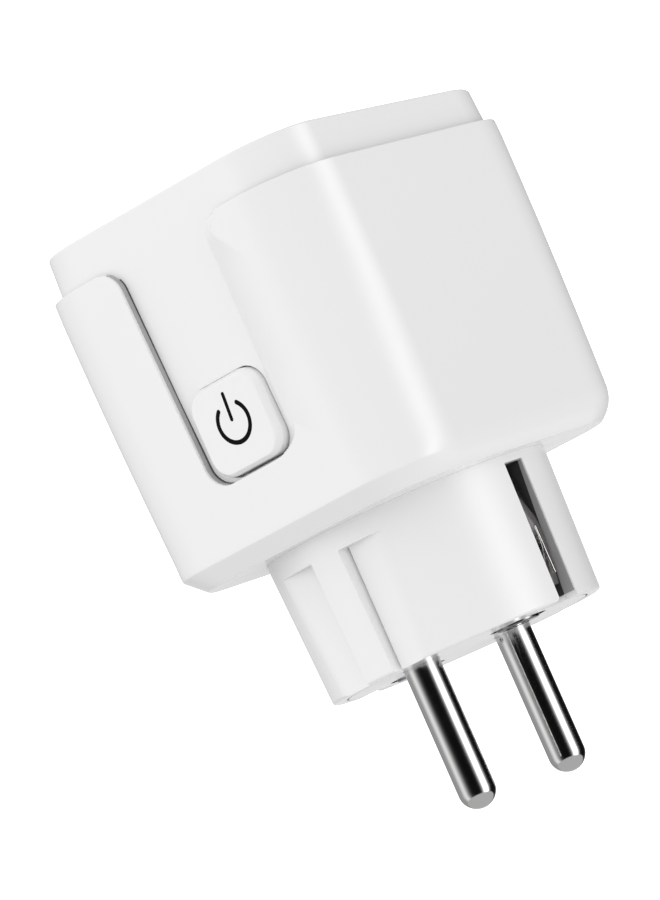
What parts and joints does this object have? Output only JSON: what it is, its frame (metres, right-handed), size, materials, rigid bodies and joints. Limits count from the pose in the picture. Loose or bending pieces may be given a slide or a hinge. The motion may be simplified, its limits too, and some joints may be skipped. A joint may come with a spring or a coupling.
{
  "type": "smart plug",
  "caption": "Square smart plug with a rear plug boss and two round pins, a front socket well with earth contacts, and a side push button in a recessed channel.",
  "frame": {"origin": "centre of the plug boss's end face, where the pins come out", "axes": "+Y along the pins into the wall socket, +X out of the face with the push button, +Z towards the upper earth contact; the socket well opens towards -Y"},
  "size_m": [0.0492, 0.0858, 0.0492],
  "materials": {
    "white_shell": "satin white polycarbonate",
    "inner_white": "plain moulded",
    "dark_insulator": "moulded",
    "nickel_plate": "polished nickel plating on brass",
    "zinc_steel": "zinc plated",
    "contact_brass": "plain stamped",
    "circuit_board": "solder mask",
    "component_case": "moulded or dipped"
  },
  "bodies": {
    "housing": {"outer_sleeve": "white_shell", "core_housing": "white_shell", "back_cover": "white_shell", "pin_carrier": "dark_insulator", "pin_live": "nickel_plate", "pin_neutral": "nickel_plate", "screw_top": "zinc_steel", "screw_bottom": "zinc_steel", "earth_bar_top": "nickel_plate", "earth_bar_bottom": "nickel_plate", "earth_bridge": "contact_brass", "contact_block": "dark_insulator", "contact_live": "contact_brass", "contact_neutral": "contact_brass", "tact_switch": "zinc_steel", "button_board": "circuit_board", "status_led": "component_case", "main_board": "circuit_board", "relay": "component_case", "x_capacitor": "component_case", "wifi_board": "circuit_board", "wifi_shield": "zinc_steel", "transformer": "dark_insulator", "bulk_capacitor_1": "dark_insulator", "bulk_capacitor_2": "dark_insulator", "fuse_resistor": "component_case", "varistor": "component_case"},
    "button": {"power_button": "white_shell", "switch_plunger": "dark_insulator"},
    "shutter_slide": {"shutter": "inner_white", "shutter_spring": "zinc_steel"}
  },
  "joints": [
    {"name": "button_press", "type": "slide", "parent": "housing", "child": "button", "axis": [-1, 0, 0], "range_m": [0, 0.0006], "stiffness_N_per_m": 2500, "springref_m": -0.0004},
    {"name": "shutter_open", "type": "slide", "parent": "housing", "child": "shutter_slide", "axis": [0, 0, -1], "range_m": [0, 0.0064], "stiffness_N_per_m": 120, "springref_m": -0.002, "deforming": ["shutter_spring"]}
  ]
}
